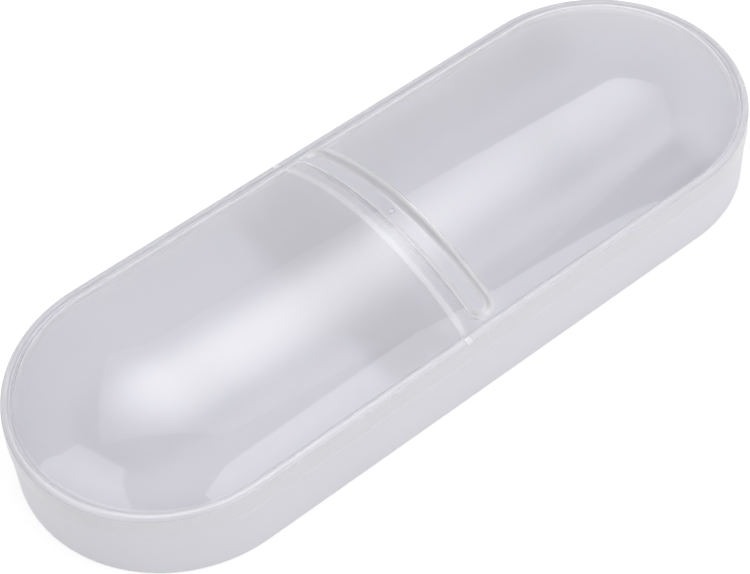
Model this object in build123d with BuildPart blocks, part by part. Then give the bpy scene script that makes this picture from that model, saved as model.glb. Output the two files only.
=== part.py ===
from build123d import *
from math import asin, cos, degrees, radians, sin, sqrt, tan
import os

# Electric toothbrush travel case, in millimetres.
# The case lies along X, stands on Z = 0, and its middle is at X = Y = 0.

# Plan of the case
end_spacing = 146.6        # between the centres of the two round ends
base_half_width = 39.95    # outside of the base wall, which is also its end radius
skirt_overhang = 0.3       # the lid's skirt stands this proud of the base wall

# Base
base_height = 16.3         # underside to the rim that the skirt comes down to
base_wall = 2.4
base_floor = 2.0
base_edge_radius = 0.8     # round along the bottom edge
rim_chamfer = 0.25         # small break along the base's outer rim
floor_corner_radius = 1.5  # inside corner between wall and floor
tongue_height = 3.3        # upstand inside the skirt

# Lid
joint_gap = 0.3            # between the base's rim and the foot of the skirt
fit_clearance = 0.3        # between the tongue and the inside of the skirt
skirt_wall = 1.3
skirt_draft = 0.25         # the lid narrows by this from skirt foot to bead
bead_height = 6.85         # foot of the skirt to the top of the bead
bead_radius = 1.2
bead_width = 2.2           # outside of the lid to the foot of the dome
bead_depth = 0.85          # top of the bead down to the foot of the dome
bead_slope = 0.5           # run of the bead's inner slope
bead_roof = 1.6            # wall over the rebate inside the bead
crown_radius = 69.5        # flat top of the dome, across the case
shoulder_radius = 14.7     # rounder sides of the dome
foot_angle = 55.0          # slope of the dome where it meets the bead
dome_wall = 1.8

# Finger groove across the lid
groove_end_inset = 4.8     # from the foot of the dome to the centre of each round end
groove_width = 5.7         # of its floor, before the corners are rounded
groove_depth = 3.0         # in the middle of the lid
groove_end_depth = 2.2     # at the centre of each round end
groove_draft = 3.0         # slope of the groove's walls, in degrees
groove_corner_radius = 1.2
groove_lip_radius = 0.9
groove_wall = 1.6
lip_margin = 0.5           # the groove's lip stays this far inside the foot of the dome
touching = 0.01            # an edge this close to the dome's surface lies on it
gate_radius = 0.9          # gate mark on the groove's floor
gate_height = 0.3

# Hold-down rib under the lid
rib_offset = 7.2           # from the middle of the case to the middle of the rib
rib_thickness = 2.0
rib_clearance = 0.15       # between the rib and the underside of the dome
rib_foot_gap = 0.5         # between the rib's feet and the cradle's deck

# What the case holds
handle_radius = 12.5
handle_length = 190.0
handle_clearance = 0.6     # round the handle in the rib's arch
head_radius = 6.5          # thickest part of a brush head
head_clearance = 0.7       # round a head in its trough
head_length = 74.0         # room for one brush head on its peg
head_axis_drop = 2.9       # axis of a head below the cradle's deck

# Cradle in the base
cradle_wall = 1.2
cradle_clearance = 0.4     # between the cradle's deck and the base wall
deck_edge_radius = 0.4
deck_drop = 0.9            # deck below the base's rim
trough_standoff = 0.3      # underside of the trough above the base's floor
trough_end_play = 3.0      # beyond each end of the handle
recess_length = 27.0       # finger recess across the cradle, for gripping the handle
recess_side_margin = 4.0   # from each side of the deck to the recess
recess_offset = 13.5       # from the middle of the case to the middle of the recess
recess_corner_radius = 4.0
recess_floor_radius = 1.5
head_end_margin = 1.5      # deck between each head's trough and the round end of the deck

# Soft saddles in the trough
pad_thickness = 1.7
pad_clearance = 0.1        # between a saddle and the trough
pad_length = 12.0
pad_spacing = 120.0
pad_edge_chamfer = 0.5
pad_half_angle = 52.0      # a saddle reaches this far up each side

# Pegs for the brush heads
peg_radius = 1.9
peg_length = 18.0
peg_tip_chamfer = 0.8
flange_radius = 2.8
flange_thickness = 1.6
stub_radius = 1.5
stub_clearance = 0.05

# Levels and reaches that follow from the sizes above
end_offset = end_spacing / 2
skirt_half_width = base_half_width + skirt_overhang
bead_half_width = skirt_half_width - skirt_draft
skirt_inside = skirt_half_width - skirt_wall
base_inside = base_half_width - base_wall
tongue_half_width = skirt_inside - fit_clearance
tongue_top = base_height + tongue_height
skirt_foot = base_height + joint_gap
bead_top = skirt_foot + bead_height

# The dome's section is a wide crown arc that turns into a tighter shoulder arc.
dome_half_width = bead_half_width - bead_width
dome_foot = bead_top - bead_depth
shoulder_reach = dome_half_width - shoulder_radius * sin(radians(foot_angle))
crown_angle = degrees(asin(shoulder_reach / (crown_radius - shoulder_radius)))
shoulder_centre = dome_foot - shoulder_radius * cos(radians(foot_angle))
crown_centre = shoulder_centre - (crown_radius - shoulder_radius) * cos(radians(crown_angle))
crest = crown_centre + crown_radius

trough_radius = handle_radius + pad_thickness + pad_clearance
trough_outside = trough_radius + cradle_wall
handle_axis = base_floor + trough_standoff + trough_outside
arch_radius = handle_radius + handle_clearance
trough_length = handle_length + 2 * trough_end_play
deck_top = base_height - deck_drop
deck_half_width = base_inside - cradle_clearance
rib_foot = deck_top + rib_foot_gap
recess_floor = base_floor + cradle_wall
recess_width = 2 * (deck_half_width - recess_side_margin)
head_axis = deck_top - head_axis_drop
head_trough_radius = head_radius + head_clearance
head_trough_outside = head_trough_radius + cradle_wall
head_centre = (trough_outside + deck_half_width) / 2
head_outer_side = head_centre + head_trough_outside
deck_end_reach = sqrt(deck_half_width**2 - head_outer_side**2)
head_room_end = end_offset + deck_end_reach - cradle_wall - head_end_margin
head_room_start = head_room_end - head_length
head_sides = [(0, head_centre), (0, -head_centre)]
peg_hole_length = 2 * cradle_wall


def dome_height(across):
    """Height of the dome's outside at this distance from the case's middle line."""
    across = abs(across)
    if across < crown_radius * sin(radians(crown_angle)):
        return crown_centre + sqrt(crown_radius**2 - across**2)
    return shoulder_centre + sqrt(shoulder_radius**2 - (across - shoulder_reach) ** 2)


# The groove's floor is an arc through its middle and the centres of its round ends.
groove_floor = crest - groove_depth
groove_turn = dome_half_width - groove_end_inset
groove_turn_floor = dome_height(groove_turn) - groove_end_depth
groove_fall = groove_floor - groove_turn_floor
groove_arc = (groove_turn**2 + groove_fall**2) / (2 * groove_fall)
groove_arc_centre = groove_floor - groove_arc
groove_turn_angle = degrees(asin(groove_turn / groove_arc))
gate_length = 2 * gate_height  # the lower half is sunk in the groove's floor


def pill(draw_half_section):
    """Solid whose section runs along the case and turns round both of its ends."""
    end_plane = Plane(origin=(end_offset, 0, 0), x_dir=(0, -1, 0), z_dir=(-1, 0, 0))
    end_axis = Axis((end_offset, 0, 0), (0, 0, 1))
    with BuildPart() as body:
        with BuildSketch(end_plane):
            with BuildLine():
                draw_half_section()
            make_face()
        revolve(axis=end_axis, revolution_arc=180)
        with BuildSketch(Plane.YZ):
            with BuildLine():
                draw_half_section()
            make_face()
            mirror(about=Plane.YZ)
        extrude(amount=end_offset)
        mirror(about=Plane.YZ)
    return body.part


def dome_curve(depth):
    """Crown and shoulder of the dome, this deep under its outside surface."""
    crown = CenterArc((0, crown_centre), crown_radius - depth, 90, -crown_angle)
    shoulder = CenterArc(
        (shoulder_reach, shoulder_centre),
        shoulder_radius - depth,
        90 - crown_angle,
        crown_angle - foot_angle,
    )
    return crown, shoulder


def base_outside():
    """Upright wall with a round bottom edge and a broken top rim, and the tongue."""
    edge = base_edge_radius
    Line((0, 0), (base_half_width - edge, 0))
    CenterArc((base_half_width - edge, edge), edge, -90, 90)
    Polyline(
        (base_half_width, edge),
        (base_half_width, base_height - rim_chamfer),
        (base_half_width - rim_chamfer, base_height),
        (tongue_half_width, base_height),
        (tongue_half_width, tongue_top),
        (0, tongue_top),
        (0, 0),
    )


def base_hollow():
    """Room inside the base, open at the top."""
    corner = floor_corner_radius
    Line((0, base_floor), (base_inside - corner, base_floor))
    CenterArc((base_inside - corner, base_floor + corner), corner, -90, 90)
    Polyline(
        (base_inside, base_floor + corner),
        (base_inside, tongue_top),
        (0, tongue_top),
        (0, base_floor),
    )


def lid_outside():
    """Skirt, bead and dome."""
    crown, shoulder = dome_curve(0)
    roll = bead_half_width - bead_radius
    Polyline(
        crown @ 0,
        (0, skirt_foot),
        (skirt_half_width, skirt_foot),
        (bead_half_width, bead_top - bead_radius),
    )
    CenterArc((roll, bead_top - bead_radius), bead_radius, 0, 90)
    Polyline((roll, bead_top), (dome_half_width + bead_slope, bead_top), shoulder @ 1)


def lid_hollow():
    """Room under the dome, with a rebate for the tongue inside the bead."""
    crown, shoulder = dome_curve(dome_wall)
    Polyline(
        crown @ 0,
        (0, skirt_foot),
        (skirt_inside, skirt_foot),
        (skirt_inside - skirt_draft, bead_top - bead_roof),
        (dome_half_width - bead_slope, dome_foot - dome_wall),
        shoulder @ 1,
    )


def groove_half_section(margin):
    """Floor, round corner and sloping wall of the groove, grown by a margin."""
    foot = groove_width / 2 + margin
    height = groove_depth + groove_lip_radius
    rise = height + margin
    mouth = foot + rise * tan(radians(groove_draft))
    FilletPolyline(
        (0, -margin),
        (foot, -margin),
        (mouth, height),
        radius=groove_corner_radius + margin,
    )
    Polyline((mouth, height), (0, height), (0, -margin))


def groove_block(margin):
    """The finger groove as a solid, grown by a margin; it stands up through the dome."""
    middle_plane = Plane(origin=(0, 0, groove_floor), x_dir=(1, 0, 0), z_dir=(0, -1, 0))
    arc_axis = Axis((0, 0, groove_arc_centre), (-1, 0, 0))
    along = cos(radians(groove_turn_angle))
    lean = sin(radians(groove_turn_angle))
    turn_centre = (0, groove_turn, groove_turn_floor)
    turn_plane = Plane(origin=turn_centre, x_dir=(1, 0, 0), z_dir=(0, -along, lean))
    with BuildPart() as block:
        with BuildSketch(middle_plane):
            with BuildLine():
                groove_half_section(margin)
            make_face()
            mirror(about=Plane.YZ)
        revolve(axis=arc_axis, revolution_arc=groove_turn_angle)
        with BuildSketch(turn_plane):
            with BuildLine():
                groove_half_section(margin)
            make_face()
        revolve(axis=Axis(turn_centre, (0, lean, along)), revolution_arc=180)
        mirror(about=Plane.XZ)
    return block.part


def is_groove_lip(edge):
    """True for an edge where the groove's wall meets the outside of the dome."""
    middle = edge @ 0.5
    near_groove = abs(middle.X) < groove_width and abs(middle.Y) < dome_half_width - lip_margin
    return near_groove and abs(middle.Z - dome_height(middle.Y)) < touching


# ---- base shell ---------------------------------------------------------------------
with BuildPart() as base_shell:
    add(pill(base_outside))
    add(pill(base_hollow), mode=Mode.SUBTRACT)
base_shell.part.label = "base_shell"

# ---- lid shell ----------------------------------------------------------------------
with BuildPart() as lid_room:
    add(pill(lid_hollow))
    add(groove_block(groove_wall), mode=Mode.SUBTRACT)

with BuildPart() as lid_shell:
    add(pill(lid_outside))
    add(lid_room.part, mode=Mode.SUBTRACT)
    add(groove_block(0), mode=Mode.SUBTRACT)
    fillet(lid_shell.edges().filter_by(is_groove_lip), groove_lip_radius)
    with Locations((0, 0, groove_floor)):
        Cylinder(gate_radius, gate_length)
lid_shell.part.label = "lid_shell"

# ---- hold-down rib under the lid ----------------------------------------------------
with BuildPart() as hold_down_rib:
    with BuildSketch(Plane.YZ.offset(-rib_offset - rib_thickness / 2)):
        with BuildLine():
            crown, shoulder = dome_curve(dome_wall + rib_clearance)
            rib_side = shoulder @ 1
            Polyline(crown @ 0, (0, rib_foot), (rib_side.X, rib_foot), rib_side)
        make_face()
        mirror(about=Plane.YZ)
        with Locations((0, handle_axis)):
            Circle(arch_radius, mode=Mode.SUBTRACT)
        with Locations((0, handle_axis - arch_radius)):
            Rectangle(2 * arch_radius, 2 * arch_radius, mode=Mode.SUBTRACT)
    extrude(amount=rib_thickness)
hold_down_rib.part.label = "hold_down_rib"


# ---- cradle tray --------------------------------------------------------------------
def handle_bar(radius, length):
    """Bar with ball ends, lying where the handle lies."""
    with BuildPart() as bar:
        with BuildSketch(Plane.XZ):
            with Locations((0, handle_axis)):
                SlotOverall(length, 2 * radius)
            with Locations((0, handle_axis + radius)):
                Rectangle(length, 2 * radius, mode=Mode.SUBTRACT)
        revolve(axis=Axis((0, 0, handle_axis), (1, 0, 0)))
    return bar.part


def head_rooms(margin):
    """Two short troughs for brush heads with flat ends, grown by a margin."""
    radius = head_trough_radius + margin
    with BuildPart() as rooms:
        with BuildSketch(Plane.YZ.offset(head_room_start - margin)):
            with Locations((head_centre, head_axis), (-head_centre, head_axis)):
                Circle(radius)
            with Locations(*[(y, (head_axis + deck_top) / 2) for x, y in head_sides]):
                Rectangle(2 * radius, head_axis_drop)
            with Locations((0, deck_top + radius)):
                Rectangle(2 * base_inside, 2 * radius, mode=Mode.SUBTRACT)
        extrude(amount=head_length + 2 * margin)
    return rooms.part


def finger_recess(margin):
    """Pocket across the cradle with round corners, grown by a margin."""
    with BuildPart() as pocket:
        with BuildSketch(Plane.XY.offset(recess_floor - margin)):
            with Locations((-recess_offset, 0)):
                RectangleRounded(
                    recess_length + 2 * margin,
                    recess_width + 2 * margin,
                    recess_corner_radius + margin,
                )
        extrude(amount=deck_top - recess_floor + margin)
        fillet(pocket.faces().sort_by(Axis.Z)[0].edges(), recess_floor_radius + margin)
    return pocket.part


with BuildPart() as cradle_tray:
    add(handle_bar(trough_outside, trough_length + 2 * cradle_wall))
    split(bisect_by=Plane.XY.offset(deck_top), keep=Keep.BOTTOM)
    with BuildSketch(Plane.XY.offset(deck_top)):
        SlotCenterToCenter(end_spacing, 2 * deck_half_width)
    extrude(amount=-cradle_wall)
    add(head_rooms(cradle_wall))
    add(finger_recess(cradle_wall))
    add(handle_bar(trough_radius, trough_length), mode=Mode.SUBTRACT)
    add(head_rooms(0), mode=Mode.SUBTRACT)
    add(finger_recess(0), mode=Mode.SUBTRACT)
    fillet(cradle_tray.faces().sort_by(Axis.Z)[-1].edges(), deck_edge_radius)
    with Locations(*[(head_room_end + cradle_wall / 2, y, head_axis) for x, y in head_sides]):
        Cylinder(
            stub_radius + stub_clearance,
            peg_hole_length,
            rotation=(0, 90, 0),
            mode=Mode.SUBTRACT,
        )
cradle_tray.part.label = "cradle_tray"


# ---- saddles for the handle ---------------------------------------------------------
def handle_pad(middle):
    """Soft saddle in the trough, with broken edges."""
    with BuildPart() as pad:
        with BuildSketch(Plane.XZ):
            with Locations((middle, handle_axis - handle_radius - pad_thickness / 2)):
                section = Rectangle(pad_length, pad_thickness)
            chamfer(section.vertices(), pad_edge_chamfer)
        revolve(axis=Axis((0, 0, handle_axis), (1, 0, 0)), revolution_arc=pad_half_angle)
        mirror(about=Plane.XZ)
    return pad.part


with BuildPart() as handle_pad_front:
    add(handle_pad(-pad_spacing / 2))
handle_pad_front.part.label = "handle_pad_front"

with BuildPart() as handle_pad_rear:
    add(handle_pad(pad_spacing / 2))
handle_pad_rear.part.label = "handle_pad_rear"


# ---- pegs for the brush heads -------------------------------------------------------
def head_peg(side):
    """Peg along a head's trough, with its flange on the end wall and its stub in the hole."""
    flange_face = head_room_end - flange_thickness
    tip = flange_face - peg_length
    peg_plane = Plane((0, side * head_centre, head_axis), x_dir=(1, 0, 0), z_dir=(0, -1, 0))
    with BuildPart() as peg:
        with BuildSketch(peg_plane):
            with BuildLine():
                Polyline(
                    (tip + peg_tip_chamfer, peg_radius),
                    (flange_face, peg_radius),
                    (flange_face, flange_radius),
                    (head_room_end, flange_radius),
                    (head_room_end, stub_radius),
                    (head_room_end + cradle_wall, stub_radius),
                    (head_room_end + cradle_wall, 0),
                    (tip, 0),
                    (tip, peg_radius - peg_tip_chamfer),
                    close=True,
                )
            make_face()
        revolve(axis=Axis((0, side * head_centre, head_axis), (1, 0, 0)))
    return peg.part


with BuildPart() as head_peg_left:
    add(head_peg(1))
head_peg_left.part.label = "head_peg_left"

with BuildPart() as head_peg_right:
    add(head_peg(-1))
head_peg_right.part.label = "head_peg_right"

# ---- files --------------------------------------------------------------------------
os.makedirs("parts", exist_ok=True)
export_step(base_shell.part, "parts/base_shell.step")
export_step(cradle_tray.part, "parts/cradle_tray.step")
export_step(handle_pad_front.part, "parts/handle_pad_front.step")
export_step(handle_pad_rear.part, "parts/handle_pad_rear.step")
export_step(head_peg_left.part, "parts/head_peg_left.step")
export_step(head_peg_right.part, "parts/head_peg_right.step")
export_step(lid_shell.part, "parts/lid_shell.step")
export_step(hold_down_rib.part, "parts/hold_down_rib.step")
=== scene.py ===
import math

import bmesh
import bpy
from mathutils import Matrix, Vector


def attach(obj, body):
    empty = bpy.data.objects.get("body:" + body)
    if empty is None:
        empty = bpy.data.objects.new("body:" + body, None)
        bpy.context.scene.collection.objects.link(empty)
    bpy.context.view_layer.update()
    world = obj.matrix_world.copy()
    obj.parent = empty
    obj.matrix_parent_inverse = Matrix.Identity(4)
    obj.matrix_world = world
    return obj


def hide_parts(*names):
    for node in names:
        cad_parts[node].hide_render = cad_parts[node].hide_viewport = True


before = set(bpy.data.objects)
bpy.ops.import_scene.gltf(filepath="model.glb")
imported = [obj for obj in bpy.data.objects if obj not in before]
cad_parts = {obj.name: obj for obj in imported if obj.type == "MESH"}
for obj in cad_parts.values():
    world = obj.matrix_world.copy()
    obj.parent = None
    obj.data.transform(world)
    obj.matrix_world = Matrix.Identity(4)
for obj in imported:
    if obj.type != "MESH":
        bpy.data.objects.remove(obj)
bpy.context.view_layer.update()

MM = 0.001

# ---- sizes of the case, in millimetres ------------------------------------------------
END_OFFSET = 73.3          # from the middle of the case to the centre of each round end
BASE_HALF_WIDTH = 39.95
BASE_HEIGHT = 16.3
BASE_WALL = 2.4
BASE_FLOOR = 2.0
BASE_FOOT_ROUNDING = 0.8
BASE_RIM_ROUNDING = 0.55
BASE_FLOOR_ROUNDING = 1.5
TONGUE_HALF_WIDTH = 38.65
TONGUE_TOP = 19.6
TONGUE_ROUNDING = 0.25
TONGUE_ROOT_ROUNDING = 0.15
SKIRT_HALF_WIDTH = 40.25
SKIRT_WALL = 1.3
SKIRT_DRAFT = 0.25
SKIRT_FOOT = 16.6
SKIRT_FOOT_ROUNDING = 0.4
SKIRT_CORNER = 0.2         # of the corners inside the skirt and at the foot of the dome
BEAD_TOP = 23.45
BEAD_RADIUS = 1.2
BEAD_WIDTH = 2.2
BEAD_SLOPE = 0.5
BEAD_ROOF = 1.6
BEAD_CORNER = 0.25         # of its inner edge
DOME_FOOT = 22.6
CROWN_RADIUS = 69.5
SHOULDER_RADIUS = 14.7
FOOT_ANGLE = math.radians(55)
DOME_WALL = 1.8
GROOVE_TURN = 33.0         # from the middle to the centre of each round end
GROOVE_HALF_WIDTH = 2.85   # of its floor, before the corners are rounded
GROOVE_DEPTH = 3.0
GROOVE_END_DEPTH = 2.2
GROOVE_DRAFT = math.radians(3)
GROOVE_CORNER = 1.2
GROOVE_LIP = 0.9
GROOVE_UNDER_LIP = 0.3
GROOVE_WALL = 1.6
GATE_RADIUS = 0.9
GATE_HEIGHT = 0.25
GATE_ROOT = 0.15           # how far it reaches into the groove's floor
RIB_SIDE = 8.9             # from the middle of the case to the far side of the line
RIB_ROOT = 1.6             # width of the milky line over the rib's root

# Sizes that follow from those above
BEAD_HALF_WIDTH = SKIRT_HALF_WIDTH - SKIRT_DRAFT
DOME_HALF_WIDTH = BEAD_HALF_WIDTH - BEAD_WIDTH
SHOULDER_REACH = DOME_HALF_WIDTH - SHOULDER_RADIUS * math.sin(FOOT_ANGLE)
CROWN_ANGLE = math.asin(SHOULDER_REACH / (CROWN_RADIUS - SHOULDER_RADIUS))
SHOULDER_CENTRE = DOME_FOOT - SHOULDER_RADIUS * math.cos(FOOT_ANGLE)
CROWN_CENTRE = SHOULDER_CENTRE - (CROWN_RADIUS - SHOULDER_RADIUS) * math.cos(CROWN_ANGLE)
CREST = CROWN_CENTRE + CROWN_RADIUS
GROOVE_FLOOR = CREST - GROOVE_DEPTH

# How finely the meshes are divided
ARC_STEPS = 72             # round each half circle of an outline
STRAIGHT_STEPS = 64        # along each straight side of an outline
ROUND_STEPS = 5            # round each small corner of a section
CORNER_STEPS = 16          # round the corner of the groove's floor
LIP_STEPS = 10
WALL_STEPS = 14
FLOOR_SHARES = (0.65, 0.3, 0.0)    # of the way from the groove's spine to its floor's edge
DOME_STEPS = 64
DOME_CROWDING = 1.6        # the dome's rings lie closer together towards its foot
GATE_STEPS = 24
FLAT_RING = 30.0           # reach of a ring that keeps the flats of the base flat
WALL_RING = 8.0            # height of a ring that keeps the walls of the base straight
FOOT_GAP = math.radians(1.5)       # the dome's rings stop this far before its foot
FOOT_RINGS = 3             # rings at the dome's foot that have the bead's finish

# Places of the finishes on the lid's mesh
POLISHED, FROSTED, SATIN, MILKY, OVER_RIB, BEAD, SHOULDER = range(7)


# ---- outlines seen from above ---------------------------------------------------------
def pill_outline(radius):
    """Ring round the case at this distance from its spine, starting at the +X end."""
    ring = []
    for side in (1, -1):
        for i in range(ARC_STEPS):
            angle = math.pi * (i / ARC_STEPS - 0.5)
            x = END_OFFSET + radius * math.cos(angle)
            ring.append((side * x, side * radius * math.sin(angle)))
        for i in range(STRAIGHT_STEPS):
            x = END_OFFSET * (1 - 2 * i / STRAIGHT_STEPS)
            ring.append((side * x, side * radius))
    return ring


def reach(x, y):
    """Distance from the spine of the case."""
    return math.hypot(max(abs(x) - END_OFFSET, 0), y)


# ---- heights ---------------------------------------------------------------------------
def dome_height(x, y, depth=0.0):
    """Height of the dome, or of the surface this deep under it."""
    across = reach(x, y)
    crown = CROWN_RADIUS - depth
    shoulder = SHOULDER_RADIUS - depth
    if across < crown * math.sin(CROWN_ANGLE):
        return CROWN_CENTRE + math.sqrt(crown**2 - across**2)
    side = min(across - SHOULDER_REACH, shoulder)
    return SHOULDER_CENTRE + math.sqrt(shoulder**2 - side**2)


# The groove's floor is an arc through its middle and the centres of its round ends.
TURN_FLOOR = dome_height(0, GROOVE_TURN) - GROOVE_END_DEPTH
GROOVE_FALL = GROOVE_FLOOR - TURN_FLOOR
GROOVE_ARC = (GROOVE_TURN**2 + GROOVE_FALL**2) / (2 * GROOVE_FALL)
GROOVE_ARC_CENTRE = GROOVE_FLOOR - GROOVE_ARC
TURN_ANGLE = math.asin(GROOVE_TURN / GROOVE_ARC)


# ---- meshes from rings -----------------------------------------------------------------
def ring_at(outline, height):
    return [(x, y, height) for x, y in outline]


def skin(name, rings, body, places=()):
    """Closed smooth mesh through rings of equal length; places gives (ring, finish) pairs."""
    mesh = bpy.data.meshes.new(name)
    count = len(rings[0])
    points = [Vector(p) * MM for ring in rings for p in ring]
    faces = []
    for row in range(len(rings) - 1):
        for i in range(count):
            j = (i + 1) % count
            low, high = row * count, (row + 1) * count
            faces.append((low + i, low + j, high + j, high + i))
    mesh.from_pydata(points, [], faces)
    for first, place in places:
        for face in mesh.polygons[first * count:]:
            face.material_index = place
    weld = bmesh.new()
    weld.from_mesh(mesh)
    bmesh.ops.remove_doubles(weld, verts=weld.verts, dist=1e-7)
    bmesh.ops.dissolve_degenerate(weld, edges=weld.edges, dist=1e-8)
    bmesh.ops.recalc_face_normals(weld, faces=weld.faces)
    weld.to_mesh(mesh)
    weld.free()
    mesh.shade_smooth()
    piece = bpy.data.objects.new(name, mesh)
    bpy.context.scene.collection.objects.link(piece)
    modifier = piece.modifiers.new("even shading", "WEIGHTED_NORMAL")
    modifier.weight = 80
    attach(piece, body)
    return piece


def rounded(corners):
    """Section through (reach, height, radius) corners, each turned into an arc."""
    section = []
    for i, (x, z, radius) in enumerate(corners):
        here = Vector((x, z))
        if radius == 0 or i in (0, len(corners) - 1):
            section.append(here)
            continue
        before = (Vector(corners[i - 1][:2]) - here).normalized()
        after = (Vector(corners[i + 1][:2]) - here).normalized()
        half = before.angle(after) / 2
        inset = radius / math.tan(half)
        centre = here + (before + after).normalized() * (radius / math.sin(half))
        start = here + before * inset - centre
        sweep = start.angle_signed(here + after * inset - centre)
        for k in range(ROUND_STEPS + 1):
            turn = Matrix.Rotation(-sweep * k / ROUND_STEPS, 2)
            section.append(centre + turn @ start)
    return section


def pill_rings(section):
    return [ring_at(pill_outline(point[0]), point[1]) for point in section]


# ---- base shell ------------------------------------------------------------------------
def base_section():
    """Underside, wall, rim, tongue and the room inside, from the spine round to the spine."""
    inside = BASE_HALF_WIDTH - BASE_WALL
    return rounded([
        (0.0, 0.0, 0),
        (FLAT_RING, 0.0, 0),
        (BASE_HALF_WIDTH, 0.0, BASE_FOOT_ROUNDING),
        (BASE_HALF_WIDTH, WALL_RING, 0),
        (BASE_HALF_WIDTH, BASE_HEIGHT, BASE_RIM_ROUNDING),
        (TONGUE_HALF_WIDTH, BASE_HEIGHT, TONGUE_ROOT_ROUNDING),
        (TONGUE_HALF_WIDTH, TONGUE_TOP, TONGUE_ROUNDING),
        (inside, TONGUE_TOP, TONGUE_ROUNDING),
        (inside, WALL_RING, 0),
        (inside, BASE_FLOOR, BASE_FLOOR_ROUNDING),
        (FLAT_RING, BASE_FLOOR, 0),
        (0.0, BASE_FLOOR, 0),
    ])


# ---- lid shell -------------------------------------------------------------------------
def groove_stations():
    """Places round the groove: point on its spine, straight up from its floor, and outwards."""
    stations = []
    for side in (1, -1):
        for i in range(ARC_STEPS):
            turn = side * TURN_ANGLE * (2 * i / ARC_STEPS - 1)
            up = Vector((0, math.sin(turn), math.cos(turn)))
            spine = Vector((0, 0, GROOVE_ARC_CENTRE)) + GROOVE_ARC * up
            stations.append((spine, up, Vector((side, 0, 0))))
        up = Vector((0, side * math.sin(TURN_ANGLE), math.cos(TURN_ANGLE)))
        along = Vector((0, side * math.cos(TURN_ANGLE), -math.sin(TURN_ANGLE)))
        spine = Vector((0, side * GROOVE_TURN, TURN_FLOOR))
        for i in range(STRAIGHT_STEPS):
            angle = math.pi * i / STRAIGHT_STEPS
            away = Vector((side * math.cos(angle), 0, 0)) + math.sin(angle) * along
            stations.append((spine, up, away))
    return stations


def dome_over(station, out, depth):
    """Height over the groove's floor of the dome, or of the surface this deep under it."""
    spine, up, away = station
    height = GROOVE_DEPTH
    for _ in range(14):
        x, y, z = spine + away * out + up * height
        height += 0.8 * (dome_height(x, y, depth) - z)
    return height


def groove_wall_path(margin):
    """Groove's section from its floor out round the corner and up, as (out, height)."""
    corner = GROOVE_CORNER + margin
    foot = GROOVE_HALF_WIDTH + margin
    sweep = math.pi / 2 - GROOVE_DRAFT
    centre_out = foot - corner * math.tan(sweep / 2)
    path = []
    for k in range(CORNER_STEPS + 1):
        angle = sweep * k / CORNER_STEPS
        out = centre_out + corner * math.sin(angle)
        path.append(Vector((out, corner * (1 - math.cos(angle)) - margin)))
    slope = Vector((math.sin(GROOVE_DRAFT), math.cos(GROOVE_DRAFT)))
    while path[-1].y < GROOVE_DEPTH + 1.5:
        path.append(path[-1] + 0.25 * slope)
    return path


def cut_at_dome(path, station, depth):
    """The path as far as the dome, or the surface this deep under it."""
    kept = [path[0]]
    for low, high in zip(path, path[1:]):
        gap_low = dome_over(station, low.x, depth) - low.y
        gap_high = dome_over(station, high.x, depth) - high.y
        if gap_high < 0:
            kept.append(low.lerp(high, gap_low / (gap_low - gap_high)))
            return kept
        kept.append(high)
    return kept


def point_along(path, distance):
    """Point and direction on a path this far from its start."""
    for low, high in zip(path, path[1:]):
        length = (high - low).length
        if distance <= length:
            return low.lerp(high, distance / length), (high - low).normalized()
        distance -= length
    return path[-1], (path[-1] - path[-2]).normalized()


def groove_profile(station, margin, depth, lip):
    """Points from the dome over the rounded lip and down to the edge of the flat floor."""
    path = cut_at_dome(groove_wall_path(margin), station, depth)
    total = sum((b - a).length for a, b in zip(path, path[1:]))
    corner, rise = path[-1], (path[-1] - path[-2]).normalized()
    beyond = corner.x + 0.5
    leave = (Vector((beyond, dome_over(station, beyond, depth))) - corner).normalized()
    turn = rise.angle(leave)
    inset = min(lip * math.tan(turn / 2), 0.8 * total)
    handle = 4 / 3 * math.tan(turn / 4) * lip
    start, start_way = point_along(path, total - inset)
    out = corner.x + inset * leave.x
    end = Vector((out, dome_over(station, out, depth)))
    past = Vector((out + 0.1, dome_over(station, out + 0.1, depth)))
    end_way = (past - end).normalized()
    first, second = start + handle * start_way, end - handle * end_way
    profile = []
    for k in range(LIP_STEPS + 1):
        t = k / LIP_STEPS
        s = 1 - t
        here = s**3 * end + 3 * s * s * t * second + 3 * s * t * t * first + t**3 * start
        profile.append(here)
    for k in range(1, WALL_STEPS + 1):
        profile.append(point_along(path, (total - inset) * (1 - k / WALL_STEPS))[0])
    return profile


def groove_rings(margin, depth, lip):
    """Rings from the dome down to the groove's floor and in to the groove's spine."""
    stations = groove_stations()
    profiles = [groove_profile(station, margin, depth, lip) for station in stations]
    for profile in profiles:
        for share in FLOOR_SHARES:
            edge = profile[-1]
            profile.append(Vector((edge.x * share, edge.y)))
    rings = []
    for k in range(len(profiles[0])):
        ring = []
        for (spine, up, away), profile in zip(stations, profiles):
            out, height = profile[k]
            ring.append(tuple(spine + away * out + up * height))
        rings.append(ring)
    return rings


def dome_rings(inner, outer, dome_depth):
    """Rings over the dome between the groove's lip and the foot of the dome."""
    rings = []
    for k in range(1, DOME_STEPS):
        t = 1 - (1 - k / DOME_STEPS) ** DOME_CROWDING
        ring = []
        for (x0, y0, _), (x1, y1) in zip(inner, outer):
            x = x0 + (x1 - x0) * t
            y = y0 + (y1 - y0) * t
            ring.append((x, y, dome_height(x, y, dome_depth)))
        rings.append(ring)
    return rings


def foot_point(dome_depth, angle):
    """Point of the dome's section at this slope."""
    radius = SHOULDER_RADIUS - dome_depth
    return (
        SHOULDER_REACH + radius * math.sin(angle),
        SHOULDER_CENTRE + radius * math.cos(angle),
    )


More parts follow.
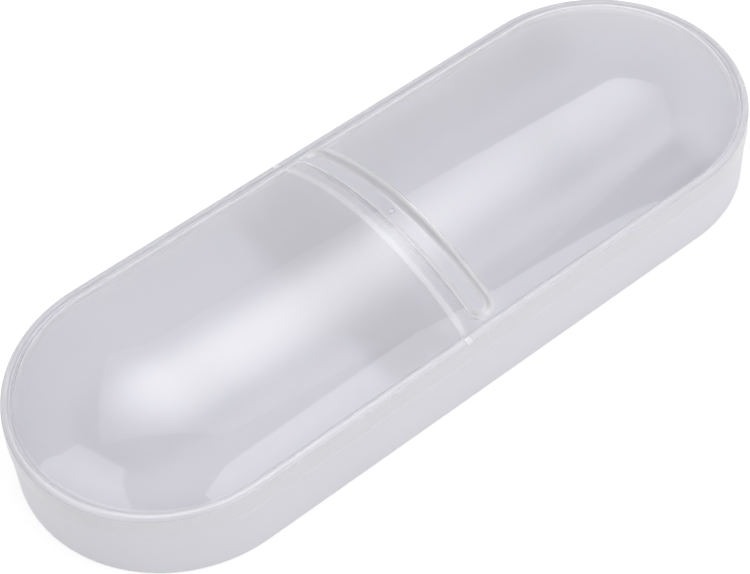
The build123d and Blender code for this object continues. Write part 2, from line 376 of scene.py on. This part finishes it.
def lid_rings():
    """Rings of the lid's dome, of its bead and skirt, and of its underside."""
    near_foot = FOOT_ANGLE - FOOT_GAP
    outside_groove = groove_rings(0.0, 0.0, GROOVE_LIP)
    inside_groove = groove_rings(GROOVE_WALL, DOME_WALL, GROOVE_UNDER_LIP)
    top_foot = foot_point(0.0, near_foot)
    under_foot = foot_point(DOME_WALL, near_foot)
    skirt_inside = SKIRT_HALF_WIDTH - SKIRT_WALL
    bead_inside = BEAD_TOP - BEAD_ROOF
    rim = rounded([
        (*top_foot, 0),
        (DOME_HALF_WIDTH, DOME_FOOT, SKIRT_CORNER),
        (DOME_HALF_WIDTH + BEAD_SLOPE, BEAD_TOP, BEAD_CORNER),
        (BEAD_HALF_WIDTH, BEAD_TOP, BEAD_RADIUS),
        (SKIRT_HALF_WIDTH, SKIRT_FOOT, SKIRT_FOOT_ROUNDING),
        (skirt_inside + SKIRT_WALL / 2, SKIRT_FOOT, 0),
    ])
    inner_rim = rounded([
        (skirt_inside + SKIRT_WALL / 2, SKIRT_FOOT, 0),
        (skirt_inside, SKIRT_FOOT, SKIRT_CORNER),
        (skirt_inside - SKIRT_DRAFT, bead_inside, SKIRT_CORNER),
        (DOME_HALF_WIDTH - BEAD_SLOPE, DOME_FOOT - DOME_WALL, SKIRT_CORNER),
        (*under_foot, 0),
    ])
    top = dome_rings(outside_groove[0], pill_outline(top_foot[0]), 0.0)
    under = dome_rings(inside_groove[0], pill_outline(under_foot[0]), DOME_WALL)
    dome = outside_groove[::-1] + top
    edge = pill_rings(rim) + pill_rings(inner_rim)[1:]
    return dome, edge, under[::-1] + inside_groove


def gate_rings():
    """Small round mark that the moulding leaves in the middle of the groove."""
    section = [
        (0, -GATE_ROOT),
        (GATE_RADIUS, -GATE_ROOT),
        (GATE_RADIUS, 0.45 * GATE_HEIGHT),
        (0.85 * GATE_RADIUS, 0.85 * GATE_HEIGHT),
        (0.6 * GATE_RADIUS, GATE_HEIGHT),
        (0, GATE_HEIGHT),
    ]
    turn = [2 * math.pi * i / GATE_STEPS for i in range(GATE_STEPS)]
    return [
        ring_at([(r * math.cos(a), r * math.sin(a)) for a in turn], GROOVE_FLOOR + z)
        for r, z in section
    ]


def mark_across(piece, left, right, changes):
    """Swap finishes between two places along the case; changes gives old and new ones."""
    mesh = bmesh.new()
    mesh.from_mesh(piece.data)
    for x in (left, right):
        bmesh.ops.bisect_plane(
            mesh,
            geom=mesh.verts[:] + mesh.edges[:] + mesh.faces[:],
            plane_co=(x * MM, 0, 0),
            plane_no=(1, 0, 0),
        )
    for face in mesh.faces:
        if left * MM < face.calc_center_median().x < right * MM:
            face.material_index = changes.get(face.material_index, face.material_index)
    mesh.to_mesh(piece.data)
    mesh.free()


# ---- effects that several finishes share -----------------------------------------------
def new_group(name, inputs, outputs):
    group = bpy.data.node_groups.new(name, "ShaderNodeTree")
    kind = "NodeSocketFloat"
    for label, default in inputs:
        socket = group.interface.new_socket(label, in_out="INPUT", socket_type=kind)
        socket.default_value = default
    for label in outputs:
        group.interface.new_socket(label, in_out="OUTPUT", socket_type=kind)
    entry = group.nodes.new("NodeGroupInput")
    leave = group.nodes.new("NodeGroupOutput")
    return group, entry, leave


def noise(group, coordinates, detail, **links):
    node = group.nodes.new("ShaderNodeTexNoise")
    node.inputs["Detail"].default_value = detail
    group.links.new(coordinates, node.inputs["Vector"])
    for name, source in links.items():
        group.links.new(source, node.inputs[name])
    return node.outputs["Fac"]


def maths(group, operation, first, second):
    node = group.nodes.new("ShaderNodeMath")
    node.operation = operation
    for socket, value in zip(node.inputs, (first, second)):
        if isinstance(value, (int, float)):
            socket.default_value = value
        else:
            group.links.new(value, socket)
    return node.outputs[0]


def stretched(tree, source, start, end, low, high):
    """The source, with start to end stretched over low to high."""
    node = tree.nodes.new("ShaderNodeMapRange")
    tree.links.new(source, node.inputs["Value"])
    node.inputs["From Min"].default_value = start
    node.inputs["From Max"].default_value = end
    node.inputs["To Min"].default_value = low
    node.inputs["To Max"].default_value = high
    return node.outputs["Result"]


def moulded_grain_group():
    """Fine satin grain of a spark-eroded mould, with broad faint flow marks."""
    group, entry, leave = new_group(
        "moulded grain",
        [("Grain per metre", 2500.0), ("Flow per metre", 18.0)],
        ["Height", "Flow"],
    )
    place = group.nodes.new("ShaderNodeTexCoord").outputs["Object"]
    fine = noise(group, place, 2.0, Scale=entry.outputs["Grain per metre"])
    flow = noise(group, place, 3.0, Scale=entry.outputs["Flow per metre"])
    group.links.new(fine, leave.inputs["Height"])
    group.links.new(flow, leave.inputs["Flow"])
    return group


def smears_group():
    """Faint smears from being carried about."""
    group, entry, leave = new_group("smears", [("Smears per metre", 30.0)], ["Smear"])
    place = group.nodes.new("ShaderNodeTexCoord").outputs["Object"]
    smear = noise(group, place, 4.0, Scale=entry.outputs["Smears per metre"])
    group.links.new(smear, leave.inputs["Smear"])
    return group


GRAIN = moulded_grain_group()
SMEARS = smears_group()


# ---- finishes --------------------------------------------------------------------------
# Painted shade: the cradle's colour is darkened round its finger recess beside the rib, where
# shade falls. In millimetres: its middle, half its size, and how far it fades out
RECESS_SHADE_MIDDLE = (-13.0, 2.5)
RECESS_SHADE_ALONG = (10.5, 4.5)
RECESS_SHADE_ACROSS = (25.0, 3.0)


class Finish:
    """A material with its Principled shader, and short ways to wire effects into it."""

    def __init__(self, name):
        self.material = bpy.data.materials.new(name)
        self.material.use_nodes = True
        self.tree = self.material.node_tree
        self.shader = self.tree.nodes["Principled BSDF"]

    def set(self, **values):
        for name, value in values.items():
            self.shader.inputs[name.replace("_", " ")].default_value = value

    def effect(self, group, **values):
        node = self.tree.nodes.new("ShaderNodeGroup")
        node.node_tree = group
        for name, value in values.items():
            node.inputs[name.replace("_", " ")].default_value = value
        return node

    def spread(self, source, low, high, start=0.3, end=0.7):
        return stretched(self.tree, source, start, end, low, high)

    def shade(self, source, first, second):
        """Colour between two colours, by the source."""
        node = self.tree.nodes.new("ShaderNodeMix")
        node.data_type = "RGBA"
        node.inputs["A"].default_value = (*first, 1)
        node.inputs["B"].default_value = (*second, 1)
        self.tree.links.new(self.spread(source, 0, 1), node.inputs["Factor"])
        return node.outputs["Result"]

    def near(self, axis, middle, half, soft):
        """1 within half of a place along an axis of the piece, fading out over soft."""
        place = self.tree.nodes.new("ShaderNodeTexCoord").outputs["Object"]
        parts = self.tree.nodes.new("ShaderNodeSeparateXYZ")
        self.tree.links.new(place, parts.inputs[0])
        offset = maths(self.tree, "SUBTRACT", parts.outputs[axis], middle * MM)
        away = maths(self.tree, "ABSOLUTE", offset, 0.0)
        return self.spread(away, 1.0, 0.0, half * MM, (half + soft) * MM)

    def wire(self, source, name):
        self.tree.links.new(source, self.shader.inputs[name])

    def bump(self, source, distance, strength=1.0):
        node = self.tree.nodes.new("ShaderNodeBump")
        node.inputs["Distance"].default_value = distance * MM
        node.inputs["Strength"].default_value = strength
        self.tree.links.new(source, node.inputs["Height"])
        self.tree.links.new(node.outputs["Normal"], self.shader.inputs["Normal"])

    def let_lamps_through(self, tint):
        """Rays from lamps pass straight through, tinted."""
        path = self.tree.nodes.new("ShaderNodeLightPath")
        clear = self.tree.nodes.new("ShaderNodeBsdfTransparent")
        clear.inputs["Color"].default_value = (*tint, 1)
        mix = self.tree.nodes.new("ShaderNodeMixShader")
        self.tree.links.new(path.outputs["Is Shadow Ray"], mix.inputs[0])
        self.tree.links.new(self.shader.outputs[0], mix.inputs[1])
        self.tree.links.new(clear.outputs[0], mix.inputs[2])
        output = self.tree.nodes["Material Output"]
        self.tree.links.new(mix.outputs[0], output.inputs["Surface"])

    def put_on(self, piece, place=0):
        while len(piece.data.materials) <= place:
            piece.data.materials.append(None)
        piece.data.materials[place] = self.material


def lid_finish(name, clear, tint, roughness, coat):
    """See-through plastic with a little milk in it; lamps reach what it covers."""
    finish = Finish(name)
    finish.set(Base_Color=(*tint, 1), IOR=1.49, Transmission_Weight=clear)
    finish.set(Coat_Weight=coat, Coat_Roughness=0.03, Coat_IOR=1.49)
    smears = finish.effect(SMEARS)
    finish.wire(finish.spread(smears.outputs["Smear"], *roughness), "Roughness")
    finish.let_lamps_through((0.90, 0.90, 0.92))
    return finish


def base_finish():
    finish = Finish("milky satin plastic")
    finish.set(IOR=1.49, Coat_Weight=0.1, Coat_Roughness=0.3)
    grain = finish.effect(GRAIN)
    colour = finish.shade(grain.outputs["Flow"], (0.82, 0.81, 0.865), (0.84, 0.83, 0.885))
    finish.wire(colour, "Base Color")
    finish.wire(finish.spread(grain.outputs["Flow"], 0.40, 0.46), "Roughness")
    finish.bump(grain.outputs["Height"], 0.01, 0.3)
    return finish


def inner_finish(name, first, second, roughness, recess=None):
    """Satin finish; recess is the share of its paleness kept in the finger recess, where shade
    is painted into the colour.
    """
    finish = Finish(name)
    finish.set(IOR=1.49)
    grain = finish.effect(GRAIN)
    colour = finish.shade(grain.outputs["Flow"], first, second)
    # Painted shade: darken the colour over the finger recess, standing in for the shade that
    # falls beside the rib.
    if recess:
        along = finish.near("X", RECESS_SHADE_MIDDLE[0], *RECESS_SHADE_ALONG)
        across = finish.near("Y", RECESS_SHADE_MIDDLE[1], *RECESS_SHADE_ACROSS)
        painted_shade = finish.tree.nodes.new("ShaderNodeMix")
        painted_shade.data_type = "RGBA"
        painted_shade.blend_type = "MULTIPLY"
        painted_shade.inputs["B"].default_value = (recess, recess, recess, 1)
        shade_mask = maths(finish.tree, "MULTIPLY", across, along)
        finish.tree.links.new(shade_mask, painted_shade.inputs["Factor"])
        finish.tree.links.new(colour, painted_shade.inputs["A"])
        colour = painted_shade.outputs["Result"]
    finish.wire(colour, "Base Color")
    finish.wire(finish.spread(grain.outputs["Flow"], roughness, roughness + 0.06), "Roughness")
    finish.bump(grain.outputs["Height"], 0.01, 0.3)
    return finish


# ---- pieces ----------------------------------------------------------------------------
base = skin("base_tub", pill_rings(base_section()), "case_base")
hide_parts("base_shell")
base_finish().put_on(base)

dome, edge, underside = lid_rings()
corner_rings = ROUND_STEPS + 1
groove_rim = len(FLOOR_SHARES) + WALL_STEPS + LIP_STEPS
bead_shoulder = len(dome) + 2 * corner_rings
finish_places = [
    (len(FLOOR_SHARES), MILKY),
    (groove_rim, POLISHED),
    (len(dome) - FOOT_RINGS, BEAD),
    (bead_shoulder, SHOULDER),
    (bead_shoulder + corner_rings - 1, SATIN),
    (len(dome) + len(edge) - 1, FROSTED),
]
lid = skin("lid_dome", dome + edge + underside, "lid", finish_places)
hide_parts("lid_shell")
mark_across(lid, -RIB_SIDE, -RIB_SIDE + RIB_ROOT, {POLISHED: OVER_RIB, SHOULDER: SATIN})

gate = skin("gate_mark", gate_rings(), "lid")

CLEAR_TINT = (0.94, 0.935, 0.98)
lid_finishes = {}
for place, name, clear, tint, roughness, coat in (
    (POLISHED, "polished clear plastic", 0.76, CLEAR_TINT, (0.03, 0.06), 1.0),
    (FROSTED, "frosted clear plastic", 0.82, CLEAR_TINT, (0.50, 0.56), 0.0),
    (SATIN, "satin clear plastic", 0.25, (0.95, 0.945, 0.975), (0.30, 0.36), 0.0),
    (MILKY, "milky clear plastic", 0.40, (0.88, 0.875, 0.885), (0.12, 0.18), 1.0),
    (OVER_RIB, "clear plastic over the rib", 0.60, (0.95, 0.945, 0.965), (0.03, 0.06), 1.0),
    (BEAD, "clear plastic of the bead", 0.44, CLEAR_TINT, (0.10, 0.16), 0.4),
):
    lid_finishes[place] = lid_finish(name, clear, tint, roughness, coat)
    lid_finishes[place].put_on(lid, place)
lid_finishes[BEAD].put_on(lid, SHOULDER)
lid_finishes[POLISHED].put_on(gate)
lid_finishes[MILKY].set(Subsurface_Weight=1.0, Subsurface_Scale=3 * MM)
lid_finishes[MILKY].set(Subsurface_Radius=(1, 1, 1))

# The last number keeps 0.60 of the colour in the finger recess: painted shade.
cradle_plastic = inner_finish(
    "satin white plastic", (0.93, 0.925, 0.955), (0.95, 0.945, 0.975), 0.42, 0.60
)
pad_rubber = inner_finish("soft grey rubber", (0.66, 0.66, 0.70), (0.70, 0.70, 0.74), 0.7)
rib_plastic = inner_finish(
    "smooth white plastic", (0.95, 0.945, 0.96), (0.97, 0.965, 0.98), 0.3
)
for node, finish in (
    ("cradle_tray", cradle_plastic),
    ("head_peg_left", cradle_plastic),
    ("head_peg_right", cradle_plastic),
    ("handle_pad_front", pad_rubber),
    ("handle_pad_rear", pad_rubber),
    ("hold_down_rib", rib_plastic),
):
    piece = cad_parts[node]
    finish.put_on(piece)
    piece.data.shade_smooth()
    piece.data.set_sharp_from_angle(angle=math.radians(35))


# ---- camera ----------------------------------------------------------------------------
CAMERA_AZIMUTH = math.radians(-36.34)
CAMERA_ELEVATION = math.radians(50.39)
CAMERA_ROLL = math.radians(-3.94)
CAMERA_DISTANCE = 554.9 * MM
AIM_RIGHT = -5.56 * MM
AIM_UP = 0.96 * MM
AIM_HEIGHT = 0.29 * MM
FOCAL_LENGTH = 99.8

level = math.cos(CAMERA_ELEVATION)
back = Vector((
    math.sin(CAMERA_AZIMUTH) * level,
    -math.cos(CAMERA_AZIMUTH) * level,
    math.sin(CAMERA_ELEVATION),
))
flat_right = (-back).cross(Vector((0, 0, 1))).normalized()
flat_up = back.cross(flat_right)
right = flat_right * math.cos(CAMERA_ROLL) + flat_up * math.sin(CAMERA_ROLL)
up = back.cross(right)
camera = bpy.data.objects.new("camera", bpy.data.cameras.new("camera"))
camera.data.lens = FOCAL_LENGTH
camera.data.sensor_width = 36.0
place = back * CAMERA_DISTANCE + right * AIM_RIGHT + up * AIM_UP + Vector((0, 0, AIM_HEIGHT))
camera.matrix_world = Matrix.Translation(place) @ Matrix((right, up, back)).transposed().to_4x4()
bpy.context.scene.collection.objects.link(camera)
bpy.context.scene.camera = camera


# ---- studio ----------------------------------------------------------------------------
# Sizes are in metres and turns in degrees. Light is the radiance that a softbox sheds on matt
# surfaces, and face is the one that gloss shows. Spots and cuts shape the face: a spot is its
# centre, its reach both ways and its strength, and a cut is the way that an edge faces and how
# far it lies from the middle.
OVERHEAD_PLACE = (0.022, 0.186, 0.535)     # aside, ahead and up
OVERHEAD_SIZE = (0.745, 0.50)
OVERHEAD_LIGHT = 1.0
OVERHEAD_FACE = 0.35
OVERHEAD_SPOTS = [((0.39, 0.438), 0.50, 0.58, 3.0), ((0.69, 0.83), 0.35, 0.52, 1.1)]
SIDE_DISTANCE = 0.61
SIDE_HEIGHT = 0.53
SIDE_AIM = 0.325           # height of what the side softboxes face
SIDE_TALL = 1.0
SIDE_SOFTBOXES = (         # name, turn, width, light, face and cuts
    ("left", -55.2, 0.72, 0.35, 0.9, [((-0.433, 0.901), 0.360), ((0.852, 0.524), 0.206)]),
    ("right", 44.7, 0.66, 0.90, 1.15, [((-0.827, 0.562), 0.253), ((0.0, 1.0), 0.445)]),
)
FACE_STEP = 0.01           # a softbox's face stands this far in front of it
CUT_BLUR = 0.01            # half the width over which a cut fades
WORLD_GLOW = 0.475         # of the surroundings, on matt surfaces
PAPER_BOUNCE = 0.8         # whiteness of the floor as it lights the case
PAPER_SHADE = 0.4          # how strongly the floor shows its shadow
PAPER_GLOW = 0.72
FLOOR_SIZE = 6


def area_lamp(name, place, turn, width, height, radiance):
    """Rectangular lamp with this radiance; sizes are in metres."""
    data = bpy.data.lights.new(name, "AREA")
    data.shape = "RECTANGLE"
    data.size = width
    data.size_y = height
    data.energy = radiance * width * height * math.pi
    lamp = bpy.data.objects.new(name, data)
    lamp.matrix_world = Matrix.Translation(place) @ turn.to_4x4()
    bpy.context.scene.collection.objects.link(lamp)
    return lamp


def spot(tree, place, centre, reach_u, reach_v, strength):
    """Glow round one flash tube on the softbox's face, fading out at its reach."""
    offset = tree.nodes.new("ShaderNodeVectorMath")
    offset.operation = "SUBTRACT"
    offset.inputs[1].default_value = (*centre, 0)
    scale = tree.nodes.new("ShaderNodeVectorMath")
    scale.operation = "MULTIPLY"
    scale.inputs[1].default_value = (1 / reach_u, 1 / reach_v, 0)
    length = tree.nodes.new("ShaderNodeVectorMath")
    length.operation = "LENGTH"
    fade = tree.nodes.new("ShaderNodeMapRange")
    fade.interpolation_type = "SMOOTHERSTEP"
    fade.inputs["To Min"].default_value = strength
    fade.inputs["To Max"].default_value = 0.0
    tree.links.new(place, offset.inputs[0])
    tree.links.new(offset.outputs[0], scale.inputs[0])
    tree.links.new(scale.outputs[0], length.inputs[0])
    tree.links.new(length.outputs["Value"], fade.inputs["Value"])
    return fade.outputs["Result"]


def cut(tree, place, size, lean, limit):
    """1 on the near side of a slanting edge of the softbox's face, 0 past it."""
    centred = tree.nodes.new("ShaderNodeVectorMath")
    centred.operation = "SUBTRACT"
    centred.inputs[1].default_value = (0.5, 0.5, 0)
    across = tree.nodes.new("ShaderNodeVectorMath")
    across.operation = "DOT_PRODUCT"
    across.inputs[1].default_value = (size[0] * lean[0], size[1] * lean[1], 0)
    tree.links.new(place, centred.inputs[0])
    tree.links.new(centred.outputs[0], across.inputs[0])
    low, high = limit - CUT_BLUR, limit + CUT_BLUR
    return stretched(tree, across.outputs["Value"], low, high, 1.0, 0.0)


def shape_face(lamp, size, face, spots, cuts):
    """Let the softbox's face glow more round its flash tubes, and end at its slanting edges."""
    lamp.data.use_nodes = True
    tree = lamp.data.node_tree
    place = tree.nodes.new("ShaderNodeNewGeometry").outputs["Parametric"]
    total = maths(tree, "ADD", face, 0.0)
    for values in spots:
        total = maths(tree, "ADD", spot(tree, place, *values), total)
    for values in cuts:
        total = maths(tree, "MULTIPLY", cut(tree, place, size, *values), total)
    tree.links.new(total, tree.nodes["Emission"].inputs["Strength"])


def softbox(name, place, turn, size, light, face, spots=(), cuts=()):
    """Two lamps in one: what the softbox sheds on matt surfaces, and the face gloss shows."""
    shed = area_lamp(f"{name} softbox", place, turn, *size, light)
    shed.visible_glossy = False
    shed.visible_transmission = False
    nearer = place - turn @ Vector((0, 0, FACE_STEP))
    shine = area_lamp(f"{name} softbox face", nearer, turn, *size, 1.0)
    shine.visible_diffuse = False
    shine.visible_transmission = False
    shape_face(shine, size, face, spots, cuts)


ahead = Vector((-back.x, -back.y, 0)).normalized()
aside = Vector((flat_right.x, flat_right.y, 0))
upright = Vector((0, 0, 1))
overhead = Matrix((aside, ahead, upright)).transposed()
softbox(
    "overhead",
    overhead @ Vector(OVERHEAD_PLACE),
    overhead,
    OVERHEAD_SIZE,
    OVERHEAD_LIGHT,
    OVERHEAD_FACE,
    spots=OVERHEAD_SPOTS,
)
for name, turn, width, light, face, cuts in SIDE_SOFTBOXES:
    way = Matrix.Rotation(math.radians(turn), 3, "Z") @ -ahead
    place = way * SIDE_DISTANCE + upright * SIDE_HEIGHT
    facing = (upright * SIDE_AIM - place).to_track_quat("-Z", "Y").to_matrix()
    softbox(name, place, facing, (width, SIDE_TALL), light, face, cuts=cuts)


def seen_directly(tree):
    """1 for rays that show the surroundings to the camera, straight or by gloss or glass."""
    path = tree.nodes.new("ShaderNodeLightPath")
    seen = path.outputs["Is Camera Ray"]
    for name in ("Is Glossy Ray", "Is Transmission Ray"):
        seen = maths(tree, "MAXIMUM", seen, path.outputs[name])
    unscattered = maths(tree, "LESS_THAN", path.outputs["Diffuse Depth"], 0.5)
    return maths(tree, "MULTIPLY", seen, unscattered)


world = bpy.data.worlds.new("studio")
bpy.context.scene.world = world
world.use_nodes = True
backdrop = world.node_tree.nodes["Background"]
backdrop.inputs["Color"].default_value = (1, 1, 1, 1)
strength = stretched(world.node_tree, seen_directly(world.node_tree), 0.0, 1.0, WORLD_GLOW, 1.0)
world.node_tree.links.new(strength, backdrop.inputs["Strength"])


def floor_finish():
    """Pale paper that shows the camera its own shade and the case's soft shadow."""
    material = bpy.data.materials.new("pale paper")
    material.use_nodes = True
    tree = material.node_tree
    tree.nodes.remove(tree.nodes["Principled BSDF"])
    paper = tree.nodes.new("ShaderNodeBsdfDiffuse")
    paper.inputs["Color"].default_value = (PAPER_BOUNCE, PAPER_BOUNCE, PAPER_BOUNCE, 1)
    lit = tree.nodes.new("ShaderNodeBsdfDiffuse")
    lit.inputs["Color"].default_value = (PAPER_SHADE, PAPER_SHADE, PAPER_SHADE, 1)
    bright = tree.nodes.new("ShaderNodeEmission")
    bright.inputs["Strength"].default_value = PAPER_GLOW
    both = tree.nodes.new("ShaderNodeAddShader")
    mix = tree.nodes.new("ShaderNodeMixShader")
    tree.links.new(lit.outputs[0], both.inputs[0])
    tree.links.new(bright.outputs[0], both.inputs[1])
    tree.links.new(seen_directly(tree), mix.inputs[0])
    tree.links.new(paper.outputs[0], mix.inputs[1])
    tree.links.new(both.outputs[0], mix.inputs[2])
    tree.links.new(mix.outputs[0], tree.nodes["Material Output"].inputs["Surface"])
    return material


bpy.ops.mesh.primitive_plane_add(size=FLOOR_SIZE, location=(0, 0, 0))
floor = bpy.context.object
floor.name = "paper_floor"
floor.data.materials.append(floor_finish())

bpy.context.scene.view_settings.view_transform = "Standard"
